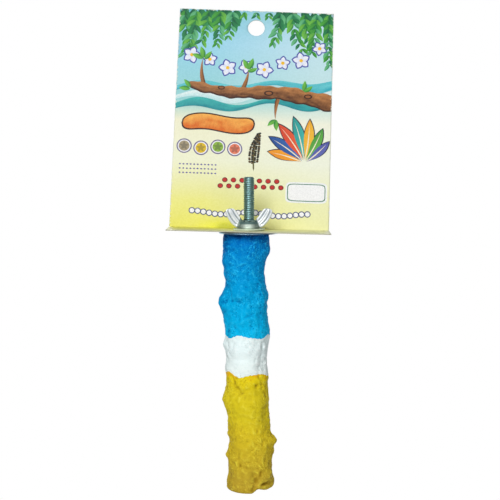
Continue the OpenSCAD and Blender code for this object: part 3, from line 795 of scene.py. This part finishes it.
def blade(u, v, heading, length, width, bend=0.0, tip=0.85, rows=15):
    """Leaf or feather outline: a middle line whose heading turns steadily by bend degrees
    over its length, widened on either side by the sine of a power of the way along."""
    t = np.linspace(0, 1, rows)
    way = np.radians(heading + bend * t)
    step = length / (rows - 1)
    line_u = u + np.concatenate([[0], np.cumsum(np.cos(way[:-1]))]) * step
    line_v = v + np.concatenate([[0], np.cumsum(np.sin(way[:-1]))]) * step
    half = width / 2 * np.sin(np.pi * t ** tip) ** 0.9
    return np.stack([line_u[:, None] - np.sin(way)[:, None] * half[:, None] * LANES,
                     line_v[:, None] + np.cos(way)[:, None] * half[:, None] * LANES], axis=-1)


def mixed(low, high, share):
    """Colours for a grid of points, mixed by their shares from two colours as seen."""
    share = np.clip(share, 0, 1)[..., None]
    return np.array(seen(*low)) * (1 - share) + np.array(seen(*high)) * share


def shaded(low, high, rows=15, lean=0.5, rib=0.25):
    """Colours for a blade: from low at its foot and one side to high at its tip and other,
    with a lighter rib down its middle."""
    t = np.linspace(0, 1, rows)[:, None]
    return mixed(low, high, 0.15 + 0.5 * t + lean * 0.6 * LANES + rib * (np.abs(LANES) < 0.2))


def disc(u, v, across, high, power=2, lanes=41):
    """A disc, oval or rounded label: its middle and the curve whose sides' powers sum to
    one."""
    t = np.linspace(0, 2 * np.pi, lanes)[None, :]
    c, s = np.cos(t), np.sin(t)
    shape = np.stack([np.sign(c) * np.abs(c) ** (2 / power) * across / 2,
                      np.sign(s) * np.abs(s) ** (2 / power) * high / 2], axis=-1)
    return np.array([u, v]) + np.array([0, 1])[:, None, None] * shape


def print_discs(u, v, *discs, **form):
    """Prints discs round one middle: size across, size high, layer and colour of each."""
    for across, high, layer, *colour in discs:
        print_shape(disc(u, v, across, high, **form), seen(*colour), layer)


def ribbon(middle, half, start=-CARD_W / 2, end=CARD_W / 2, rows=97, lanes=6):
    """A band across the card between middle(u) less and plus half(u)."""
    u = np.linspace(start, end, rows)
    return np.stack([np.stack([u, middle(u) + k * half(u)], -1)
                     for k in np.linspace(-1, 1, lanes)], 1)


def streaked(low, high, seed, rows=97, lanes=6):
    """Colours for a ribbon: light along its upper side, with streaks that run along it."""
    noise = np.random.default_rng(seed).normal(size=(rows, lanes))
    noise = sum(np.roll(noise, k, axis=0) for k in range(-3, 4)) / 4
    return mixed(low, high, 0.45 + 0.4 * np.linspace(-1, 1, lanes) + 0.22 * noise)


pick = np.random.default_rng(21)
GREENS = [((22, 104, 50), (84, 182, 66)), ((30, 124, 56), (128, 206, 76)),
          ((14, 84, 58), (46, 146, 84)), ((40, 132, 90), (120, 204, 140))]

# Broad dim leaves behind, then sprigs with paired leaves hanging from the top edge
for k in range(26):
    foot = -46 + 92 * k / 25
    if abs(foot) > 11:
        print_shape(blade(foot, PANEL_H + 1, -90 + pick.uniform(-40, 40), pick.uniform(9, 15)
                          + abs(foot) / 6, 6.5, bend=pick.uniform(-30, 30)),
                    shaded((12, 88, 60), (58, 158, 92), rib=0.1), 0.5)
for foot in np.linspace(-44.5, 44.5, 13):
    drop = 15 + 17 * abs(foot) / 45 + pick.uniform(-4, 4)
    if abs(foot) < 10:
        drop = 4.0
    swing = pick.uniform(-12, 12)
    pairs = max(2, int(drop / 2.9))
    for k in range(pairs):
        t = (k + 0.3) / pairs
        u0 = foot + math.sin(math.radians(swing)) * drop * t * t * 1.5
        v0 = PANEL_H - 0.4 - drop * t
        size = pick.uniform(6.4, 8.6) - 2.6 * t if drop > 5 else 4.0
        for hand in (-1, 1):
            low, high = GREENS[pick.integers(4)]
            head = -90 + hand * pick.uniform(30, 62) + swing
            print_shape(blade(u0, v0, head, size, size * 0.40, bend=-hand * 26),
                        shaded(low, high, lean=hand * 0.5), 1)

# A sagging garland of white flowers with violet edges and yellow hearts
for k in range(8):
    u0 = -39 + 11.2 * k
    v0 = 101.5 + 0.0072 * (u0 + 4) ** 2 + (1.2 if k % 2 else -1.0)
    size = (5.4, 4.4)[k % 2]
    for grow, wide, tint, layer in (
            (0.6, 0.86, seen(76, 84, 172), 1.5),
            (-0.3, 0.62, shaded((214, 222, 248), (252, 253, 255), rows=11, lean=0.2), 2)):
        for head in range(5):
            print_shape(blade(u0, v0, 72 * head + 17 * k, size + grow, size * wide, tip=1.1,
                              rows=11), tint, layer)
    print_discs(u0, v0, (2.2, 2.2, 3, 246, 196, 52), lanes=21)

# Wavy ribbons over the middle
for base, size, tint, deep in ((90.0, 3.4, (112, 210, 216), (54, 172, 190)),
                               (84.0, 2.8, (240, 250, 248), (190, 230, 232)),
                               (78.5, 3.1, (66, 186, 180), (20, 134, 146))):
    band = ribbon(lambda u: base + 2.3 * np.sin(u / 7.5) + u * 0.05,
                  lambda u: size * (0.72 + 0.28 * np.cos(u / 9.0 + base)))
    print_shape(band, streaked(deep, tint, int(base)), 1)

# A stout branch lying across the ribbons, its bark dark below, with side twigs and leaves
bark, bark_light = (84, 46, 24), (196, 132, 76)
for twig in ((-30, 88.5, 112, 19, 2.6, -34), (-8, 86.2, 62, 15.5, 2.6, 26),
             (16, 86.6, -110, 18, 2.6, 26)):
    print_shape(blade(*twig, tip=0.5), shaded(bark, bark_light), 2)
log = ribbon(lambda u: 86.5 - 0.085 * u + 1.5 * np.sin(u / 11.0), lambda u: np.sqrt(np.clip(
    (u + 42) / 9, 0.0, 1)) * (2.3 + 2.6 * np.clip((u + 42) / 90, 0, 1)
                              + 0.45 * np.sin(u / 3.1) + 0.25 * np.sin(u / 1.3)),
             start=-42, rows=160, lanes=10)
print_shape(log + np.array([0, -0.9]), seen(58, 30, 18), 2.5)
print_shape(log, streaked(bark, bark_light, 4, 160, 10), 3)
for u0, v0, size in ((-20, 88.6, 2.6), (9, 86.0, 3.4), (33, 84.6, 3.0)):
    print_discs(u0, v0, (size * 1.7, size, 3.5, 60, 32, 18),
                (size * 1.1, size * 0.55, 4, 150, 92, 50))
for u0, v0, head, size in (
        (-32, 107, 150, 7.5), (-31.7, 107.3, 96, 8), (-31.2, 106.6, 44, 7), (-4, 101, 110, 7.5),
        (-4, 101, 62, 8), (-4.4, 99.6, 14, 6.5), (14, 69, -150, 6.5), (14.2, 69, -96, 7),
        (30, 88, 74, 7), (30.5, 87.6, 30, 6.5), (-39, 87, 168, 7), (-39, 88, 120, 6.5)):
    print_shape(blade(u0, v0, head, size, size * 0.42, 18), shaded(*GREENS[1]), 4.5)

# A fan of feathers, each with a dark edge, a pale shaft and a deeper tip
for k, (v0, size, width, low, high) in enumerate((
        (43, 21, 5.6, (236, 128, 24), (252, 178, 44)),
        (43.5, 25, 6.2, (24, 56, 124), (58, 112, 190)),
        (44, 27, 6.4, (206, 46, 38), (240, 104, 60)),
        (44, 28, 6.2, (12, 128, 128), (72, 194, 184)),
        (44, 26, 6.0, (238, 150, 26), (250, 206, 70)),
        (43.5, 23, 5.6, (26, 124, 58), (116, 196, 76)),
        (43, 19, 5.0, (54, 62, 140), (112, 120, 196)))):
    root = (30 + 0.5 * k, v0, 158 - 20 * k)
    print_shape(blade(*root, size * 1.04, width + 0.9, 14, tip=1.25), seen(30, 34, 52), 5)
    print_shape(blade(*root, size, width, 14, tip=1.25),
                shaded(high, low, lean=0.25, rib=0.0), 5.5)
    print_shape(blade(*root, size * 0.9, 0.7, 14, tip=0.6), seen(250, 240, 208), 6)

# A blank plaque, warm orange with a light upper side and a dark edge
for grow, low, high, layer in ((1.7, (50, 26, 20), (58, 30, 22), 2),
                               (0.0, (222, 104, 22), (252, 184, 84), 3)):
    plaque = ribbon(lambda u: 65.5 - 1.2 * np.sin((u + 20) / 6.5), lambda u: (4.6 + grow / 2)
                    * np.clip(1 - np.abs((u + 21) / (21.5 + grow / 2)) ** 8, 0, 1) ** 0.5,
                    start=-42.5 - grow / 2, end=0.5 + grow / 2)
    print_shape(plaque, streaked(low, high, 8), layer)

# A row of ringed discs, each with a five-lobed flower of its own colour
for k, low in enumerate(((168, 154, 122), (226, 190, 36), (142, 182, 66), (232, 128, 98))):
    u0, v0 = -41 + 10.2 * k, 50.5 - 1.0 * (k % 2)
    print_discs(u0, v0, (9.2, 9.2, 1, 104, 96, 140), (7.8, 7.8, 2, 246, 246, 248),
                (6.5, 6.5, 3, *low))
    for head in range(5):
        print_shape(blade(u0, v0, 72 * head + 18, 2.9, 1.5, rows=9),
                    np.array(seen(*low)) * 0.55 + 0.02, 4)

# A spray of millet: dark grains in close pairs up a curved stalk
stalk = blade(1.5, 36, 96, 24, 0.9, -26, tip=0.3)
print_shape(stalk, seen(96, 92, 40), 1)
line = stalk.mean(axis=1)
for k in range(96):
    t = 0.22 + 0.78 * k / 95
    u0, v0 = (np.interp(t, np.linspace(0, 1, len(line)), line[:, i]) for i in (0, 1))
    wide = 2.3 * math.sin(math.pi * (0.12 + 0.84 * t)) + 0.3
    print_discs(u0 + wide * (k % 4 - 1.5) / 1.5, v0 + pick.uniform(-0.5, 0.5),
                (1.5, 1.2, 1, *((46, 42, 30), (92, 70, 34), (34, 38, 34))[k % 3]), lanes=13)

# A blank label, white with a green line round it, and small violet lozenges in three rows
print_discs(33.5, 23.5, (25, 13, 1, 250, 252, 250), (23, 11, 2, 38, 118, 84),
            (22, 10, 3, 252, 252, 252), power=7)
for k in range(33):
    print_discs(-43 + 2.15 * (k % 11), 39.0 - 2.7 * (k // 11), (1.5, 1.1, 1, 96, 90, 158),
                power=1, lanes=9)

# Red berries either side of the stud, in two rows with dark rims
for k in range(15):
    print_discs((k - 7) * 2.6, 28.0 + (1.9 if k % 2 else -1.9), (3.3, 3.1, 1, 92, 24, 26),
                (2.5, 2.3, 2, 196, 44, 40), lanes=19)

# A string of white beads with slate rims along the foot
for k in range(21):
    print_discs((k - 10) * 3.45, 9.2 + 0.9 * math.cos(k * math.pi / 5),
                (3.9, 3.9, 1, 70, 80, 128), (2.8, 2.8, 2, 250, 250, 252), lanes=25)

flat = np.concatenate([p for _, _, p in inks])
printing = surface("card_printing", *[g for g, _, _ in inks], facing=(0, -1, 0.3),
                   values={"ink": np.concatenate([c for _, c, _ in inks]),
                           "across": flat[:, :1] / CARD_W, "up": flat[:, 1:] / PANEL_H})
ink, tree, place = new_finish("printing_ink", Roughness=0.4, Specular_IOR_Level=0.15)
ink_and_painted_tint = add(tree, "Attribute", attribute_name="ink").outputs["Color"]
dots = noise(tree, place, 1400.0, 2.0)
ink_and_painted_tint = blend_colours(tree, 1.0, ink_and_painted_tint, ramp(
    tree, dots, [(0.35, 238, 238, 238), (0.65, 252, 252, 252)]), "MULTIPLY")
dress(tree, dots, 0.1, 0.00004, Base_Color=rubbed(tree, place, ink_and_painted_tint))
printing.data.materials.append(ink)
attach(printing, "panel")


# ---------------- small washer
# A flat washer of the same zinc-plated steel under the nut. It rides up with the nut, and a
# pale painted tint, painted light, brightens the lower part of its rim.
SMALL_R, SMALL_Z = 9.3, -5.6
small_ring = stamped_ring("small_flat_washer", SMALL_R, SMALL_Z)
# The pale tint low on the rim is painted light
small_ring.data.materials.append(stamped_zinc(
    "small_washer_zinc", (188, 200, 176), (172, 186, 162), -0.00504, seen(214, 226, 200),
    metal=0.35))
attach(small_ring, "small_washer")
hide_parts("nut_washer")


# ---------------- wing nut
# A cold-forged wing nut in bright zinc: a flared boss with two wings that lean outwards.
# Either face of a wing has two fine grooves and a shallower one between, run out to its tip.
NUT_BASE, BOSS_H, BOSS_BASE_R, BOSS_TOP_R, NUT_BORE_R = -4.8, 4.8, 6.5, 4.5, 3.3
WING_T, WING_FLARE, OBLONG, WINDOW_AT, CLOSE_AT, CLOSE_W = 2.4, 0.5, 7.0, 0.14, 0.78, 0.22
GROOVE, GROOVE_AT, GROOVE_W, MIDDLE_SHARE, MIDDLE_W = 0.36, 0.46, 0.12, 0.4, 0.10
outer_edge = np.array([(6.2, 0.35), (9.3, 0.45), (13.2, 5.7), (14.3, 11.0)])
inner_edge = np.array([(3.6, 4.2), (4.7, 6.2), (6.8, 8.3), (8.65, 12.0)])


def bezier(points, t):
    """Curve through a Bezier cage of four points at shares t of the way along."""
    t = t[:, None]
    a, b, c, d = points
    return a * (1 - t) ** 3 + 3 * b * t * (1 - t) ** 2 + 3 * c * t * t * (1 - t) + d * t ** 3


def wing_skin(hand):
    """Skin of one wing: an oblong section, whose sides' powers sum to one, carried between
    the two edge curves. Its faces are cut by the grooves, each a bell-shaped valley, and it
    flares at the boss, and its width closes over the tip."""
    t = np.concatenate([np.linspace(0, 0.9, 44), 0.9 + 0.1 * np.sin(np.linspace(0.1, 1.57, 14))])
    across, edge = np.linspace(0.95, -0.95, 51), np.linspace(0.86, -0.86, 13)
    flat, rim = ((1 - np.abs(way) ** OBLONG) ** (1 / OBLONG) for way in (across, edge))
    width = np.concatenate([across, -rim, -across, rim])[None, :]
    depth = np.concatenate([flat, edge, -flat, -edge])[None, :]
    o, i = bezier(outer_edge, t), bezier(inner_edge, t)
    close = np.clip((t - CLOSE_AT) / CLOSE_W, 0, 1)[:, None]
    window = np.clip((t - WINDOW_AT) / WINDOW_AT, 0, 1)[:, None]
    groove = (np.exp(-((np.abs(width) - GROOVE_AT) / GROOVE_W) ** 2)
              + MIDDLE_SHARE * np.exp(-(width / MIDDLE_W) ** 2))
    thick = WING_T / 2 + WING_FLARE * np.exp(-t / 0.10)[:, None]
    thick = thick * (1 - 0.25 * close ** 6) - GROOVE * groove * window
    shrink = (1 - close ** 3.2) ** (1 / 2.6)
    x, z = (((o + i) / 2)[:, [k]] + ((o - i) / 2)[:, [k]] * width * shrink for k in (0, 1))
    rows = np.stack([hand * x, depth * thick, NUT_BASE + z], axis=-1)
    foot, tip = (rows[[end]].mean(axis=1, keepdims=True) for end in (0, -1))
    cut = groove * window
    return (np.concatenate([foot + 0 * rows[:1], rows, tip + 0 * rows[:1]]),
            np.concatenate([cut[:1], cut, cut[-1:]]).reshape(-1, 1))


boss = np.array(
    [(NUT_BORE_R, 0), (BOSS_BASE_R - 0.25, 0), (BOSS_BASE_R - 0.07, 0.07), (BOSS_BASE_R, 0.25),
     (BOSS_BASE_R, 0.9)]
    + [(BOSS_TOP_R + (BOSS_BASE_R - BOSS_TOP_R) * (1 - f) ** 1.7, 1.0 + 3.2 * f)
       for f in np.linspace(0, 1, 12)]
    + [(BOSS_TOP_R - 0.08, 4.5), (BOSS_TOP_R - 0.3, 4.72), (BOSS_TOP_R - 0.55, BOSS_H),
       (NUT_BORE_R + 0.5, BOSS_H), (NUT_BORE_R, BOSS_H - 0.5)])
a = np.linspace(0, 360, 96, endpoint=False)[None, :]
boss_rows = ring_points(a, boss[:, :1], NUT_BASE + boss[:, 1:])
(right_wing, right_cut), (left_wing, left_cut) = wing_skin(1), wing_skin(-1)
nut = surface("cast_wing_nut", woven(boss_rows, loop=True), woven(right_wing), woven(left_wing),
              values={"groove": np.concatenate([np.zeros((boss_rows[..., 0].size, 1)),
                                                right_cut, left_cut])})
nut.data.set_sharp_from_angle(angle=math.radians(50))
bright, tree, place = new_finish("bright_zinc", Metallic=0.5)
x, y, z = add(tree, "SeparateXYZ", {"Vector": place}).outputs
cloud = noise(tree, place, 380.0, 4.0)
plated = ramp(tree, cloud, [(0.3, 208, 214, 218), (0.7, 230, 234, 238)])
# Painted shade makes the plate blue-grey and dim in the grooves. On the boss, painted shade
# greys it beside the wings and a painted highlight brightens it half-way between them, both
# mottled, and painted shade lies darker, in patches, on its top round the stud
cut = spread(tree, reading(tree, "groove"), 0.3, 1.0, high=0.8)
plated = blend_colours(tree, cut, plated, seen(118, 136, 158))
off_axis = maths(tree, "ABSOLUTE", maths(tree, "ADD", x, 0.0005))
# The boss and the wings' roots: they take the painted shade and highlight, and are rougher
boss_zone = spread(tree, maths(tree, "MULTIPLY_ADD", z, 0.42, off_axis), 0.0055, 0.0048)
mottle = noise(tree, place, 700.0, 2.0)
# Painted shade greys the boss's sides, and a painted highlight brightens its middle
painted_boss_light = blend_colours(tree, spread(tree, off_axis, 0.0044, 0.0012), seen(114, 129, 119),
                       seen(218, 232, 220))
painted_boss_light = blend_colours(tree, spread(tree, mottle, 0.4, 0.65, high=0.3), painted_boss_light,
                       seen(150, 166, 154))
# Painted shade on the boss's top round the stud, darker in patches
painted_top_shade = ramp(tree, mottle, [(0.4, 56, 74, 72), (0.6, 120, 144, 136)])
painted_top_shade = blend_colours(tree, spread(tree, z, -0.0012, -0.0007), seen(88, 114, 112), painted_top_shade)
reach = length_of(tree, add(tree, "CombineXYZ", {0: x, 1: y}).outputs[0])
inside = spread(tree, reach, 0.0062, 0.0052, high=spread(tree, z, -0.0027, -0.0019))
painted_boss_light = blend_colours(tree, inside, painted_boss_light, painted_top_shade)
smear = spread(tree, cloud, 0.3, 0.7, 0.34, 0.46)
for share, rougher in ((boss_zone, 0.12), (inside, 0.30)):
    smear = maths(tree, "MULTIPLY_ADD", share, rougher, smear)
dress(tree, noise(tree, place, 2400.0, 2.0), 0.2, 0.00006,
      Base_Color=blend_colours(tree, boss_zone, plated, painted_boss_light), Roughness=smear)
nut.data.materials.append(bright)
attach(nut, "nut")
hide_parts("wing_nut")


# ---------------- studio, lamps and camera
# A pale floor well below the hanging perch, even light from the front and both sides, and a
# long lens level with the stack, looking slightly down.
scene = bpy.context.scene
scene.view_settings.view_transform = "Standard"
world = bpy.data.worlds.new("studio")
world.use_nodes = True
scene.world = world
tree = world.node_tree
ray = add(tree, "LightPath").outputs
# Shiny parts mirror a white backdrop, a soft white strip behind the camera and dim sides
way = add(tree, "SeparateXYZ", {0: add(tree, "TexCoord").outputs["Generated"]}).outputs
soft = {"interpolation_type": "SMOOTHSTEP"}
backdrop = spread(tree, way["Y"], 0.1, 0.6, 0.26, **soft)
ahead = spread(tree, way["Y"], 0.0, -0.55, high=0.72, **soft)
strip = spread(tree, maths(tree, "ABSOLUTE", way["X"]), 0.62, 0.2, **soft)
mirrored = maths(tree, "MULTIPLY_ADD", ahead, strip, backdrop)
light = maths(tree, "MULTIPLY", mirrored, ray["Is Glossy Ray"])
light = maths(tree, "ADD", light, maths(tree, "ADD", ray["Is Camera Ray"],
                                        ray["Is Transmission Ray"]))
light = maths(tree, "MULTIPLY_ADD", 0.20, ray["Is Diffuse Ray"], light)
tree.links.new(light, tree.nodes["Background"].inputs["Strength"])
tree.nodes["Background"].inputs["Color"].default_value = (1, 1, 1, 1)

FLOOR_Z, FLOOR_R = -320.0, 560.0
a = np.linspace(0, 360, 96, endpoint=False)[None, :]
floor = surface("studio_floor", woven(ring_points(
    a, np.array([[0.0], [FLOOR_R / 2], [FLOOR_R]]), np.full((3, 1), FLOOR_Z))), facing=(0, 0, 1))
floor_paint, tree, place = new_finish(
    "studio_floor", Base_Color=(0.9, 0.9, 0.9, 1), Roughness=0.9, Specular_IOR_Level=0.1,
    Emission_Color=(1, 1, 1, 1))
# Seen from above the floor glows to white towards its rim, and near the middle keeps shadow
glow = maths(tree, "MULTIPLY", spread(tree, length_of(tree, place), 0.34, 0.60, 0.25, 0.9),
             add(tree, "LightPath").outputs["Is Camera Ray"])
tree.links.new(glow, tree.nodes["Principled BSDF"].inputs["Emission Strength"])
floor.data.materials.append(floor_paint)

# Square area lamps in metres and watts, turned to face a point just below the stack
LAMP_SIZE, LAMP_AIM = 0.8, np.array([0.0, 0.0, -0.04])
for name, stand, power in (("front_left", (-0.45, -1.30, 0.90), 21.0),
                           ("front_right", (0.75, -1.25, 0.30), 2.5),
                           ("behind", (0.0, 1.3, 0.8), 9.0)):
    lamp = bpy.data.lights.new(name, "AREA")
    lamp.shape, lamp.size, lamp.energy = "SQUARE", LAMP_SIZE, power
    held = bpy.data.objects.new(name, lamp)
    held.location = stand
    look = LAMP_AIM - np.array(stand)
    held.rotation_euler = (math.atan2(math.hypot(look[0], look[1]), -look[2]), 0,
                           math.atan2(-look[0], look[1]))
    scene.collection.objects.link(held)

DISTANCE, ELEVATION, TARGET = 0.870, math.radians(4.56), (0.0005975, 0.0, -0.0175809)
SENSOR, FOCAL_LENGTH = 36.0, 106.91
lens = bpy.data.cameras.new("camera")
lens.sensor_width, lens.lens = SENSOR, FOCAL_LENGTH
lens.clip_start, lens.clip_end = 0.05, 20.0
camera = bpy.data.objects.new("camera", lens)
camera.location = (TARGET[0], TARGET[1] - DISTANCE * math.cos(ELEVATION),
                   TARGET[2] + DISTANCE * math.sin(ELEVATION))
camera.rotation_euler = (math.pi / 2 - ELEVATION, 0, 0)
scene.collection.objects.link(camera)
scene.camera = camera
